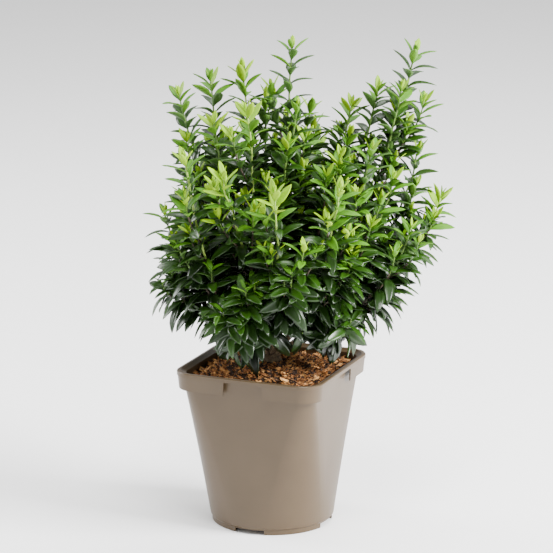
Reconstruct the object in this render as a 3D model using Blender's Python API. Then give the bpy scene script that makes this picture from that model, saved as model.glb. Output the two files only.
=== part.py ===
"""Potted japanese spindle: a many-stemmed evergreen shrub in a square-topped nursery pot.

Metres, +Z up. The origin is on the pot's axis, on the flat surface that the pot stands on.
The wide face seen in front is the -Y side of the pot.
"""
import math
import random

import bmesh
import bpy
from mathutils import Matrix, Vector
from mathutils.bvhtree import BVHTree

# Pot
POT_HEIGHT = 0.175
RIM_SIDE = 0.166
RIM_CORNER = 0.0225
LIP_HEIGHT = 0.0045
LIP_SOFTENING = 0.0007
SKIRT_HEIGHT = 0.0192
SKIRT_SETBACK = 0.0006
SKIRT_LEAN = 0.0011
SKIRT_WALL = 0.0013
SKIRT_NOTCH_WIDTH = 0.043
SKIRT_NOTCH_HEIGHT = 0.0143
SKIRT_NOTCH_DEPTH = 0.0065
SKIRT_NOTCH_TAPER = 0.0015
BODY_SIDE = 0.150
BODY_CORNER = 0.017
BODY_WALL = 0.0015
BODY_FOOT_RADIUS = 0.067
BODY_FOOT_CHAMFER = 0.0016
FOOT_RADIUS = 0.0614
FOOT_HEIGHT = 0.0054
FOOT_WALL = 0.0034
FOOT_NOTCH_WIDTH = 0.033
FOOT_NOTCH_DEPTH = 0.030
FOOT_NOTCH_HEIGHT = 0.0046
UNDERSIDE_LEVEL = 0.0050
UNDERSIDE_DRAFT = 0.0005
FLOOR_WALL = 0.0020
MOUTH_SIDE = 0.1482
GATE_BOSS_RADIUS = 0.012
DRAIN_HOLES = 6
DRAIN_SIDES = 10
DRAIN_RADIUS = 0.0050
DRAIN_CIRCLE = 0.043
CORNER_STEPS = 5
STRAIGHT_STEPS = 2
CUT_OVERRUN = 0.001
CRISP_ANGLE = math.radians(35)

# Growing mix
MIX_EDGE_LEVEL = 0.160
MIX_TOP_LEVEL = 0.1735
MIX_LUMP = 0.0014
MIX_RINGS = 5
MIX_FLAT_SHARE = 0.16

# Stems: the main stem, the boughs on it and the twigs of a mass
GAP = 0.0003
MERGE_DISTANCE = 0.00002
STUMP_HEIGHT = 0.024
STUMP_RADIUS = 0.0088
STUMP_SIDES = 12
BOUGH_FOOT_RADIUS = 0.0020
BOUGH_TIP_RADIUS = 0.0016
BOUGH_SIDES = 5
BOUGH_POINTS = 6
LOW_TIER_LEVEL = 0.011
TOP_TIER_CIRCLE = 0.0056
TWIG_FOOT_RADIUS = 0.0020
TWIG_TIP_RADIUS = 0.0012
TWIG_SIDES = 3
TWIG_POINTS = 7
SIDE_SHOOT_SHARE = 0.94
SHOOT_LEAN = 0.22

# Leaves: the sizes, how they sit on a shoot, and the room they keep round them
LEAF_LENGTH = 0.044
LEAF_WIDTH = 0.0215
LEAF_THICKNESS = 0.0030
LEAF_ARCH = 0.10
LEAF_WAIST = 0.46
LEAF_SINK = 0.0004
LEAF_REACH = 0.053
LIMB_CLEARANCE = 0.0028
SPACE_MARGIN = 0.002
LEAF_PADDING = 0.0007
TWIG_CLEARANCE = 0.0055
NODE_SPACING = 0.0268
NODE_START = 0.35
TIP_LEAF_LENGTH = 0.022
TIP_LEAF_WIDTH = 0.0088
TIP_LEAF_SINK = 0.002
SIZE_LOSS = 0.30
SIZE_SPREAD = (0.92, 1.06)
LEAF_ROLL = (20, 50)
LEAF_RISE = (0.25, 1.0)
LEAF_DROOP = 0.25
SMALLER = (1.0, 0.82, 0.66, 0.5)
POT_CLEARANCE = 0.002
SEED = 7

# The main stem's levels above the mix, with its radius at each: the root flare comes first
STUMP_PROFILE = (
    (0.0, 0.0125),
    (0.0053, 0.0093),
    (0.0120, STUMP_RADIUS),
    (STUMP_HEIGHT - 0.0010, 0.0082),
    (STUMP_HEIGHT, 0.0077),
)

# How a bough rises: the bend point of its curve, as shares of its reach and its rise
BEND_REACH = 0.72
TOP_BEND_REACH = 0.5
BEND_RISE = 0.35
FORK_SHARE = 0.24
STEM_LENGTH = 0.006
STEM_SINK = 0.3
SKIRT_TURNS = (-14, 12, -6, 5)
SKIRT_REACH = 0.032
SKIRT_RISE = -0.002
SKIRT_BARE = 0.1
LINE_STEP = 0.002
NODE_STEP = 0.001

# Each mass of foliage: its tier on the stump, then its shoots, each as the bearing of its tip
# in degrees from +X, the tip's reach from the pot's axis, its height above the ground, and
# the share of the shoot that is bare at its foot.
CROWN = {
    "left_tall": ("low", [(175, 0.112, 0.466, 0.2), (154, 0.101, 0.479, 0.2)]),
    "left_middle": ("top", [(-175, 0.066, 0.442, 0.1), (-160, 0.095, 0.360, 0.1)]),
    "left_side": ("low", [(-170, 0.118, 0.342, 0.1), (-150, 0.108, 0.285, 0.4)]),
    "front_left": ("low", [(-124, 0.109, 0.418, 0.1), (-132, 0.112, 0.330, 0.1)]),
    "front_left_inner": ("top", [(-104, 0.085, 0.402, 0.1), (-147, 0.028, 0.459, 0.1)]),
    "front_low": ("low", [(-102, 0.093, 0.262, 0.1), (-80, 0.085, 0.290, 0.1)]),
    "front_middle": ("low", [(-66, 0.095, 0.389, 0.1), (-51, 0.114, 0.334, 0.1)]),
    "front_right": ("low", [(-32, 0.119, 0.395, 0.1), (-18, 0.100, 0.320, 0.1)]),
    "centre": ("top", [(-27, 0.026, 0.428, 0.1), (32, 0.027, 0.461, 0.1)]),
    "right_front": ("low", [(-1, 0.113, 0.426, 0.1), (-3, 0.096, 0.240, 0.2)]),
    "right_inner": ("top", [(22, 0.072, 0.410, 0.1), (44, 0.089, 0.427, 0.1)]),
    "right_low": ("low", [(10, 0.150, 0.339, 0.1), (16, 0.125, 0.275, 0.2)]),
    "right_middle": ("low", [(22, 0.128, 0.385, 0.1), (29, 0.145, 0.325, 0.2)]),
    "right_outer": ("low", [(31, 0.183, 0.361, 0.4), (43, 0.168, 0.404, 0.5)]),
    "right_tall": ("low", [(38, 0.143, 0.474, 0.3), (50, 0.174, 0.508, 0.5)]),
    "right_back": ("top", [(48, 0.126, 0.471, 0.1), (63, 0.113, 0.451, 0.1)]),
    "back_tall": ("top", [(84, 0.045, 0.520, 0.2), (76, 0.070, 0.451, 0.1)]),
    "back_middle": ("low", [(88, 0.120, 0.410, 0.1), (105, 0.118, 0.425, 0.1)]),
    "back_right_low": ("low", [(66, 0.140, 0.355, 0.1), (80, 0.132, 0.300, 0.1)]),
    "back_left": ("top", [(132, 0.096, 0.486, 0.2), (118, 0.070, 0.459, 0.1)]),
    "back_left_side": ("low", [(145, 0.128, 0.400, 0.1), (160, 0.128, 0.350, 0.1)]),
    "back_low": ("low", [(112, 0.138, 0.345, 0.1), (130, 0.135, 0.310, 0.1)]),
}

ASSEMBLY = bpy.data.collections.new("potted_japanese_spindle")
CUTTERS = bpy.data.collections.new("cutters")


def clear_scene():
    for item in list(bpy.data.objects):
        bpy.data.objects.remove(item)
    bpy.context.scene.collection.children.link(ASSEMBLY)
    bpy.context.scene.collection.children.link(CUTTERS)


def material(name, colour, roughness):
    made = bpy.data.materials.new(name)
    made.use_nodes = True
    shader = made.node_tree.nodes["Principled BSDF"]
    shader.inputs["Base Color"].default_value = (*colour, 1.0)
    shader.inputs["Roughness"].default_value = roughness
    return made


def add_object(name, mesh, finish, collection=ASSEMBLY):
    item = bpy.data.objects.new(name, mesh)
    if finish:
        mesh.materials.clear()
        mesh.materials.append(finish)
    collection.objects.link(item)
    return item


def mesh_from(work, name, outward=False):
    """Turns the working shape into a mesh, with its faces turned outward where asked."""
    if outward:
        bmesh.ops.recalc_face_normals(work, faces=work.faces)
    mesh = bpy.data.meshes.new(name)
    work.to_mesh(mesh)
    work.free()
    return mesh


def apply_modifiers(item):
    """Replaces an object's mesh by what its modifiers make of it."""
    graph = bpy.context.evaluated_depsgraph_get()
    made = bpy.data.meshes.new_from_object(item.evaluated_get(graph))
    item.modifiers.clear()
    item.data = made


def shade_round(mesh):
    """Smooth shading, with a crisp edge wherever the surface turns sharply."""
    mesh.shade_smooth()
    mesh.set_sharp_from_angle(angle=CRISP_ANGLE)


def boolean(item, other, operation):
    """Joins or cuts an object with another object, or with each object of a collection."""
    step = item.modifiers.new(operation.lower(), "BOOLEAN")
    step.operation = operation
    if isinstance(other, bpy.types.Collection):
        step.operand_type = "COLLECTION"
        step.collection = other
    else:
        step.object = other


def outline(level, side, corner, roundness=0.0):
    """Points of a square with round corners, drawn towards the circle of the same width."""
    points = []
    per_side = CORNER_STEPS + STRAIGHT_STEPS
    straight = side / 2 - corner
    for quarter in range(4):
        turn = Matrix.Rotation(quarter * math.pi / 2, 2)
        for step in range(per_side):
            if step <= CORNER_STEPS:
                angle = step / CORNER_STEPS * math.pi / 2
                arc = Vector((math.cos(angle), math.sin(angle)))
                square = Vector((straight, straight)) + corner * arc
            else:
                along = (step - CORNER_STEPS) / STRAIGHT_STEPS
                square = Vector((straight - 2 * straight * along, side / 2))
            angle = (step - CORNER_STEPS / 2) / per_side * math.pi / 2 + math.pi / 4
            circle = side / 2 * Vector((math.cos(angle), math.sin(angle)))
            flat = turn @ square.lerp(circle, roundness)
            points.append(Vector((flat.x, flat.y, level)))
    return points


def loft(name, rings):
    """One closed skin over a run of rings, with a flat face on the first and on the last."""
    work = bmesh.new()
    rows = [[work.verts.new(point) for point in ring] for ring in rings]
    for low, high in zip(rows, rows[1:]):
        for index in range(len(low)):
            after = (index + 1) % len(low)
            # The diagonal rises the same way on every wall, so that nested walls stay parallel
            if high[index].co.z >= low[index].co.z:
                work.faces.new((low[index], low[after], high[after]))
                work.faces.new((low[index], high[after], high[index]))
            else:
                work.faces.new((low[index], low[after], high[index]))
                work.faces.new((low[after], high[after], high[index]))
    work.faces.new(rows[0][::-1])
    work.faces.new(rows[-1])
    mesh = mesh_from(work, name, outward=True)
    shade_round(mesh)
    return mesh


def body_ring(level, inset=0.0):
    """The pot body's ring at a level: square under the rim, round at the foot."""
    low, high = FOOT_HEIGHT + BODY_FOOT_CHAMFER, POT_HEIGHT - SKIRT_HEIGHT
    share = (level - low) / (high - low)
    side = 2 * BODY_FOOT_RADIUS + (BODY_SIDE - 2 * BODY_FOOT_RADIUS) * share
    roundness = min(1.0, max(0.0, 1.0 - share))
    return outline(level, side - 2 * inset, BODY_CORNER - inset, roundness)


def wall_rings(foot, top, inset):
    """The rings of the body's wall between two levels, with one half way up."""
    middle = POT_HEIGHT / 2
    return [body_ring(level, inset) for level in (foot, middle, top)]


def circle_ring(level, radius):
    return outline(level, 2 * radius, BODY_CORNER, 1.0)


def add_cutter(name, mesh):
    item = add_object(name, mesh, None, CUTTERS)
    item.hide_render = True
    item.display_type = "WIRE"
    return item


def notch_cutter(name, size, middle, turn, flare=0.0):
    """A box, wider at its foot by the flare on each side, turned to one side of the pot."""
    work = bmesh.new()
    bmesh.ops.create_cube(work, size=1.0)
    for corner in work.verts:
        corner.co = Vector(corner.co[axis] * size[axis] for axis in range(3))
        if corner.co.z < 0:
            corner.co.x += math.copysign(flare, corner.co.x)
    work.transform(Matrix.Rotation(turn, 4, "Z") @ Matrix.Translation(middle))
    return add_cutter(name, mesh_from(work, name))


def drain_cutter(name, bearing):
    work = bmesh.new()
    bmesh.ops.create_cone(work, cap_ends=True, segments=DRAIN_SIDES, radius1=DRAIN_RADIUS,
                          radius2=DRAIN_RADIUS, depth=3 * FOOT_HEIGHT)
    work.transform(Matrix.Translation(around(bearing, DRAIN_CIRCLE, FOOT_HEIGHT)))
    return add_cutter(name, mesh_from(work, name))


def build_pot():
    lip_foot = POT_HEIGHT - LIP_HEIGHT
    skirt_foot = POT_HEIGHT - SKIRT_HEIGHT
    skirt_top_side = RIM_SIDE - 2 * SKIRT_SETBACK
    skirt_foot_side = skirt_top_side - 2 * SKIRT_LEAN
    rings = [
        circle_ring(0.0, GATE_BOSS_RADIUS),
        circle_ring(UNDERSIDE_LEVEL, GATE_BOSS_RADIUS + UNDERSIDE_DRAFT),
        circle_ring(UNDERSIDE_LEVEL, FOOT_RADIUS - FOOT_WALL - UNDERSIDE_DRAFT),
        circle_ring(0.0, FOOT_RADIUS - FOOT_WALL),
        circle_ring(0.0, FOOT_RADIUS),
        circle_ring(FOOT_HEIGHT, FOOT_RADIUS),
        circle_ring(FOOT_HEIGHT, BODY_FOOT_RADIUS - BODY_FOOT_CHAMFER),
        *wall_rings(FOOT_HEIGHT + BODY_FOOT_CHAMFER, skirt_foot, 0.0),
        body_ring(lip_foot),
        outline(lip_foot, skirt_top_side - 2 * SKIRT_WALL, RIM_CORNER - SKIRT_WALL),
        outline(skirt_foot, skirt_foot_side - 2 * SKIRT_WALL, RIM_CORNER - SKIRT_WALL),
        outline(skirt_foot, skirt_foot_side, RIM_CORNER),
        outline(lip_foot, skirt_top_side, RIM_CORNER),
        outline(lip_foot, RIM_SIDE, RIM_CORNER),
        outline(POT_HEIGHT - LIP_SOFTENING, RIM_SIDE, RIM_CORNER),
        outline(POT_HEIGHT, RIM_SIDE - 2 * LIP_SOFTENING, RIM_CORNER - LIP_SOFTENING),
        outline(POT_HEIGHT, MOUTH_SIDE + 2 * LIP_SOFTENING, BODY_CORNER),
        outline(POT_HEIGHT - LIP_SOFTENING, MOUTH_SIDE, BODY_CORNER),
        *wall_rings(FOOT_HEIGHT + FLOOR_WALL, skirt_foot, BODY_WALL)[::-1],
    ]
    finish = material("pot_plastic", (0.212, 0.168, 0.122), 0.42)
    pot = add_object("pot", loft("pot", rings), finish)

    skirt_size = (SKIRT_NOTCH_WIDTH, SKIRT_NOTCH_DEPTH, SKIRT_NOTCH_HEIGHT + 2 * CUT_OVERRUN)
    skirt_middle = (0.0, -(RIM_SIDE - SKIRT_NOTCH_DEPTH + CUT_OVERRUN) / 2,
                    skirt_foot + SKIRT_NOTCH_HEIGHT / 2 - CUT_OVERRUN)
    foot_size = (FOOT_NOTCH_WIDTH, FOOT_NOTCH_DEPTH, FOOT_NOTCH_HEIGHT + 2 * CUT_OVERRUN)
    foot_middle = (0.0, -FOOT_RADIUS, FOOT_NOTCH_HEIGHT / 2 - CUT_OVERRUN)
    for side in range(4):
        turn = side * math.pi / 2
        cutter = notch_cutter(f"skirt_notch_{side + 1}", skirt_size, skirt_middle, turn, SKIRT_NOTCH_TAPER)
        boolean(pot, cutter, "DIFFERENCE")
        cutter = notch_cutter(f"foot_notch_{side + 1}", foot_size, foot_middle, turn)
        boolean(pot, cutter, "DIFFERENCE")
    for index in range(DRAIN_HOLES):
        cutter = drain_cutter(f"drain_{index + 1}", (index + 0.5) * 360 / DRAIN_HOLES)
        boolean(pot, cutter, "DIFFERENCE")


def build_mix():
    """The growing mix fills the pot and rises to a low mound round the stump."""
    chance = random.Random(SEED)
    clear = BODY_WALL + GAP
    floor = FOOT_HEIGHT + FLOOR_WALL + GAP
    rings = wall_rings(floor, POT_HEIGHT - SKIRT_HEIGHT, clear)
    edge = body_ring(MIX_EDGE_LEVEL, clear)
    rings.append(edge)
    for step in range(1, MIX_RINGS + 1):
        share = step / MIX_RINGS
        rise = (MIX_TOP_LEVEL - MIX_EDGE_LEVEL) * math.sin(share * math.pi / 2)
        spread = 1.0 - share * (1.0 - MIX_FLAT_SHARE)
        level = MIX_EDGE_LEVEL + rise
        lump = 0.0 if step == MIX_RINGS else MIX_LUMP
        rings.append([Vector((point.x * spread, point.y * spread, level + chance.uniform(-lump, lump)))
                      for point in edge])
    finish = material("growing_mix", (0.060, 0.035, 0.016), 0.95)
    add_object("growing_mix", loft("growing_mix", rings), finish)


def profile(sides):
    """A closed outline of unit radius that a limb is drawn with."""
    curve = bpy.data.curves.new("limb_profile", "CURVE")
    curve.dimensions = "2D"
    spline = curve.splines.new("POLY")
    spline.points.add(sides - 1)
    for index, point in enumerate(spline.points):
        angle = index / sides * math.tau
        point.co = (math.cos(angle), math.sin(angle), 0.0, 1.0)
    spline.use_cyclic_u = True
    item = bpy.data.objects.new("limb_profile", curve)
    CUTTERS.objects.link(item)
    return item


def limb(name, points, radii, sides, finish, collection=ASSEMBLY):
    """A tapering limb through the points, as a closed mesh."""
    shape = profile(sides)
    curve = bpy.data.curves.new(name, "CURVE")
    curve.dimensions = "3D"
    curve.bevel_mode = "OBJECT"
    curve.bevel_object = shape
    curve.use_fill_caps = True
    spline = curve.splines.new("POLY")
    spline.points.add(len(points) - 1)
    for target, point, radius in zip(spline.points, points, radii):
        target.co = (*point, 1.0)
        target.radius = radius
    guide = bpy.data.objects.new(name + "_guide", curve)
    collection.objects.link(guide)
    graph = bpy.context.evaluated_depsgraph_get()
    mesh = bpy.data.meshes.new_from_object(guide.evaluated_get(graph))
    bpy.data.objects.remove(guide)
    bpy.data.objects.remove(shape)
    work = bmesh.new()
    work.from_mesh(mesh)
    bmesh.ops.remove_doubles(work, verts=work.verts, dist=MERGE_DISTANCE)
    mesh = mesh_from(work, name, outward=True)
    shade_round(mesh)
    return add_object(name, mesh, finish, collection)


def around(bearing, reach, height):
    angle = math.radians(bearing)
    return Vector((reach * math.cos(angle), reach * math.sin(angle), height))


def taper(foot, tip, count):
    return [foot + (tip - foot) * index / (count - 1) for index in range(count)]


def bow(start, bend, end, count, share=1.0):
    """Points along the first share of a curve that leaves start towards bend and ends at end."""
    made = []
    for index in range(count):
        t = share * index / (count - 1)
        made.append(start * (1 - t) ** 2 + bend * (2 * t * (1 - t)) + end * t * t)
    return made


def reaching(start, aim, end, rise, count):
    """Points along a curve that leaves start along aim and comes up to end along rise."""
    reach = (end - start).length / 3
    first, second = start + aim.normalized() * reach, end - rise.normalized() * reach
    made = []
    for index in range(count):
        t = index / (count - 1)
        made.append(start * (1 - t) ** 3 + first * (3 * t * (1 - t) ** 2)
                    + second * (3 * t * t * (1 - t)) + end * t ** 3)
    return made


def mean_tip(shoots):
    """The bearing, reach and height that a mass's bough makes for."""
    count = len(shoots)
    east = sum(math.cos(math.radians(shoot[0])) * shoot[1] for shoot in shoots)
    north = sum(math.sin(math.radians(shoot[0])) * shoot[1] for shoot in shoots)
    bearing = math.degrees(math.atan2(north, east))
    return bearing, sum(shoot[1] for shoot in shoots) / count, sum(shoot[2] for shoot in shoots) / count


def foot_bearings():
    """Spaces the feet of each tier's boughs evenly round the stump, in the order of their tips."""
    made = {}
    for tier in ("low", "top"):
        names = [name for name in CROWN if CROWN[name][0] == tier]
        names.sort(key=lambda name: mean_tip(CROWN[name][1])[0])
        step = 360 / len(names)
        shift = sum(mean_tip(CROWN[name][1])[0] - index * step for index, name in enumerate(names))
        for index, name in enumerate(names):
            made[name] = shift / len(names) + index * step
    return made


def bough_points(tier, shoots, foot_bearing):
    """The line of one bough, from the stump to where its mass of foliage begins."""
    bearing, reach, height = mean_tip(shoots)
    top = MIX_TOP_LEVEL + GAP + STUMP_HEIGHT
    foot = top if tier == "top" else top - STUMP_HEIGHT + LOW_TIER_LEVEL
    bend_reach = (TOP_BEND_REACH if tier == "top" else BEND_REACH) * reach
    bend = around(bearing, bend_reach, foot + BEND_RISE * (height - foot))
    start = around(foot_bearing, TOP_TIER_CIRCLE if tier == "top" else STUMP_RADIUS, foot)
    aim = (bend - start).normalized()
    if tier == "top":
        start.z += GAP + BOUGH_FOOT_RADIUS * math.hypot(aim.x, aim.y)
    else:
        start = around(foot_bearing, STUMP_RADIUS + 2 * GAP + BOUGH_FOOT_RADIUS * aim.z, foot)
    return bow(start, bend, around(bearing, reach, height), BOUGH_POINTS, FORK_SHARE)


def mass_lines(line, shoots):
    """The lines of a mass: each shoot leaves the bough's tip and curves up to its own tip."""
    aim = (line[-1] - line[-2]).normalized()
    foot = line[-1] + aim * GAP
    fork = foot + aim * STEM_LENGTH
    made = []
    for bearing, reach, height, bare in shoots:
        tip = around(bearing, reach, height - TIP_LEAF_LENGTH + TIP_LEAF_SINK)
        lean = around(bearing, SHOOT_LEAN, 1.0)
        root = foot if not made else foot.lerp(fork, STEM_SINK)
        made.append(([root] + reaching(fork, aim, tip, lean, TWIG_POINTS - 1), bare))
    return made


def skirt_line(line, shoots, turn):
    """A short low shoot of an outer mass, whose leaves hang round the foot of the shrub."""
    aim = (line[-1] - line[-2]).normalized()
    foot = line[-1] + aim * GAP
    fork = foot + aim * STEM_LENGTH
    bearing = mean_tip(shoots)[0] + turn
    tip = around(bearing, foot.to_2d().length + SKIRT_REACH, foot.z + SKIRT_RISE)
    outward = around(bearing, 1.0, 0.0)
    return [foot.lerp(fork, STEM_SINK)] + reaching(fork, aim, tip, outward, TWIG_POINTS - 3)


def closest(line, others):
    """The least distance between a line and any of some others."""
    here = [point for point, way in sample(line, LINE_STEP)]
    there = [point for other in others for point, way in sample(other, LINE_STEP)]
    return min((first - second).length for first in here for second in there)


def crown_lines(boughs):
    """The lines of every mass. A low shoot that would come near another limb is left out."""
    made = {name: mass_lines(boughs[name], shoots) for name, (tier, shoots) in CROWN.items()}
    for name, (tier, shoots) in CROWN.items():
        others = [line for other in CROWN if other != name for line, bare in made[other]]
        others += [boughs[other] for other in CROWN if other != name]
        for turn in SKIRT_TURNS if tier == "low" else ():
            line = skirt_line(boughs[name], shoots, turn)
            if closest(line, others) > TWIG_CLEARANCE:
                made[name].append((line, SKIRT_BARE))
                break
    return made


def leaf_mesh(length, width, arch=0.0):
    """A leaf of eight faces: its root at the origin, its tip on +X, its upper side to +Z."""
    work = bmesh.new()
    bmesh.ops.create_uvsphere(work, u_segments=4, v_segments=2, radius=1.0)
    for corner in work.verts:
        at_end = round(abs(corner.co.x)) == 1
        if at_end:
            corner.co = Vector((length if corner.co.x > 0 else 0.0, 0.0, 0.0))
        else:
            raised = corner.co.z * LEAF_THICKNESS / 2 + arch * length
            corner.co = Vector((LEAF_WAIST * length, corner.co.y * width / 2, raised))
    return mesh_from(work, "leaf")


def leaf_frame(root, direction, upward, roll=0.0):
    """Places a leaf at its root, along a direction, its upper side rolled away from upward."""
    ahead = direction.normalized()
    across = upward.cross(ahead).normalized()
    top = ahead.cross(across)
    turn = Matrix((ahead, across, top)).transposed().to_4x4() @ Matrix.Rotation(roll, 4, "X")
    return Matrix.Translation(root - ahead * LEAF_SINK) @ turn


def sample(points, spacing):
    """Points at an even spacing along a line, with the line's direction at each."""
    made = []
    carried = 0.0
    for here, there in zip(points, points[1:]):
        run = (there - here).length
        while carried <= run:
            made.append((here.lerp(there, carried / run), (there - here).normalized()))
            carried += spacing
        carried -= run
    return made


class Space:
    """Keeps each leaf in its own mass's space and clear of every limb."""

    def __init__(self, lines_by_mass, boughs):
        self.lines = {name: [point for line, bare in lines for point, way in sample(line, LINE_STEP)]
                      for name, lines in lines_by_mass.items()}
        self.limbs = [point for line in boughs for point, way in sample(line, LINE_STEP)]
        self.leaves = []

    def distance(self, point, mass):
        return min((point - other).length for other in self.lines[mass])

    def own(self, point, mass):
        """True where the point lies nearer to its own mass's shoots than to any other's."""
        near = self.distance(point, mass)
        return all((point - other).length > near + SPACE_MARGIN
                   for name, points in self.lines.items() if name != mass for other in points)

    def free(self, mass, shape, middle):
        """True where the leaf stays clear of the limbs and of other masses' shoots and leaves."""
        tree = BVHTree.FromPolygons(*shape)
        others = list(self.limbs)
        for name, points in self.lines.items():
            if name != mass:
                others += points
        for other in others:
            if (other - middle).length < LEAF_LENGTH and tree.find_nearest(other, LIMB_CLEARANCE)[0]:
                return False
        for name, centre, kept in self.leaves:
            if name != mass and (centre - middle).length < LEAF_REACH and tree.overlap(kept):
                return False
        return True

    def keep(self, mass, shape, middle):
        self.leaves.append((mass, middle, BVHTree.FromPolygons(*shape)))


def padded_shape(mesh, place):
    """A leaf's corners and faces, swollen by the padding, to test its clearance with."""
    corners = []
    for corner in mesh.vertices:
        swell = Vector((LEAF_PADDING if corner.co.x > 0 else 0.0,
                        math.copysign(LEAF_PADDING, corner.co.y) if corner.co.y else 0.0,
                        math.copysign(LEAF_PADDING, corner.normal.z)))
        corners.append(place @ (corner.co + swell))
    return corners, [tuple(face.vertices) for face in mesh.polygons]


def above_pot(points):
    """True where no point touches the pot's rim or the growing mix."""
    for point in points:
        outside = max(abs(point.x), abs(point.y)) > MOUTH_SIDE / 2 - POT_CLEARANCE
        floor = POT_HEIGHT if outside else MIX_TOP_LEVEL
        if point.z < floor + POT_CLEARANCE:
            return False
    return True


def leaf_spots(line, bare, phase):
    """Where the leaves of one shoot sit: pairs that turn a quarter from node to node."""
    nodes = sample(line, NODE_STEP)
    first = int(bare * len(nodes))
    count = max(2, round((len(nodes) - first) * NODE_STEP / NODE_SPACING))
    side = nodes[0][1].orthogonal().normalized()
    side.rotate(Matrix.Rotation(phase, 3, nodes[0][1]))
    for index in range(count):
        share = (index + NODE_START) / count
        place, way = nodes[first + int((len(nodes) - 1 - first) * share)]
        side = (side - way * side.dot(way)).normalized()
        for hand in (1, -1):
            yield place, way, side * hand, share
        side.rotate(Matrix.Rotation(math.pi / 2, 3, way))


def fit_leaf(name, space, place, way, direction, size, roll):
    """The largest leaf of the allowed sizes that fits here, as a mesh and its place, or None."""
    for shrink in SMALLER:
        length = LEAF_LENGTH * size * shrink
        mesh = leaf_mesh(length, LEAF_WIDTH * size * math.sqrt(shrink), LEAF_ARCH)
        frame = leaf_frame(place, direction, way, roll)
        tip = frame @ Vector((length, 0, 0))
        middle = frame @ Vector((length / 2, 0, 0))
        shape = padded_shape(mesh, frame)
        if above_pot(shape[0]) and space.own(tip, name) and space.free(name, shape, middle):
            space.keep(name, shape, middle)
            return mesh, frame
    return None


def mass_leaves(name, lines, space, chance):
    """The leaves of one mass, each inside the mass's own space, and the one at each tip."""
    made = []
    low, high = LEAF_RISE
    for line, bare in lines:
        phase = chance.uniform(0, math.tau)
        for place, way, side, share in leaf_spots(line, bare, phase):
            size = (1.0 - SIZE_LOSS * share) * chance.uniform(*SIZE_SPREAD)
            roll = math.radians(chance.uniform(*LEAF_ROLL)) * chance.choice((-1, 1))
            direction = side + way * (low + (high - low) * share)
            direction.z -= LEAF_DROOP * (1 - share)
            leaf = fit_leaf(name, space, place, way, direction, size, roll)
            if leaf:
                made.append(leaf)
        place, way = sample(line, NODE_STEP)[-1]
        top = leaf_mesh(TIP_LEAF_LENGTH, TIP_LEAF_WIDTH)
        made.append((top, leaf_frame(place - way * TIP_LEAF_SINK, way, way.orthogonal())))
    return made


def largest_body(item):
    """Keeps the largest connected skin of a mesh, which drops scraps and fills sealed hollows."""
    work = bmesh.new()
    work.from_mesh(item.data)
    left = set(work.verts)
    bodies = []
    while left:
        found, edge = set(), [left.pop()]
        while edge:
            corner = edge.pop()
            found.add(corner)
            for link in corner.link_edges:
                other = link.other_vert(corner)
                if other in left:
                    left.remove(other)
                    edge.append(other)
        bodies.append(found)
    bodies.sort(key=len)
    for scrap in bodies[:-1]:
        bmesh.ops.delete(work, geom=list(scrap), context="VERTS")
    work.to_mesh(item.data)
    work.free()


def build_mass(name, lines, leaves, finish):
    """Fuses one mass of foliage: its shoots, joined at their foot, with their leaves."""
    parts = bpy.data.collections.new(name + "_parts")
    bpy.context.scene.collection.children.link(parts)
    stem = None
    for index, (line, bare) in enumerate(lines):
        radii = taper(TWIG_FOOT_RADIUS, TWIG_TIP_RADIUS, len(line))
        if not stem:
            stem = limb("foliage_" + name, line, radii, TWIG_SIDES, finish)
        else:
            finer = [radius * SIDE_SHOOT_SHARE for radius in radii]
            limb(f"{name}_shoot_{index + 1}", line, finer, TWIG_SIDES, None, parts)
    for index, (mesh, frame) in enumerate(leaves):
        item = add_object(f"{name}_leaf_{index + 1}", mesh, None, parts)
        item.matrix_world = frame
    boolean(stem, parts, "UNION")
    apply_modifiers(stem)
    for item in list(parts.objects):
        bpy.data.objects.remove(item)
    bpy.data.collections.remove(parts)
    largest_body(stem)


def build_stump(finish):
    """The short main stem: cut flat at the mix, flared there, with a rounded shoulder."""
    foot = MIX_TOP_LEVEL + GAP
    points = [Vector((0, 0, foot + level)) for level, radius in STUMP_PROFILE]
    radii = [radius for level, radius in STUMP_PROFILE]
    limb("main_stem", points, radii, STUMP_SIDES, finish)


def build_plant():
    bark = material("stem_bark", (0.105, 0.075, 0.045), 0.8)
    leafy = material("spindle_leaf", (0.060, 0.105, 0.022), 0.45)
    build_stump(bark)
    feet = foot_bearings()
    boughs = {name: bough_points(tier, shoots, feet[name]) for name, (tier, shoots) in CROWN.items()}
    lines = crown_lines(boughs)
    for name, points in boughs.items():
        radii = taper(BOUGH_FOOT_RADIUS, BOUGH_TIP_RADIUS, BOUGH_POINTS)
        limb("bough_" + name, points, radii, BOUGH_SIDES, bark)
    space = Space(lines, boughs.values())
    chance = random.Random(SEED)
    for name in CROWN:
        leaves = mass_leaves(name, lines[name], space, chance)
        build_mass(name, lines[name], leaves, leafy)


clear_scene()
build_pot()
build_mix()
build_plant()
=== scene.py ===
import math
import random

import bmesh
import bpy
from mathutils import Matrix, Vector, noise
from mathutils.kdtree import KDTree


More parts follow.
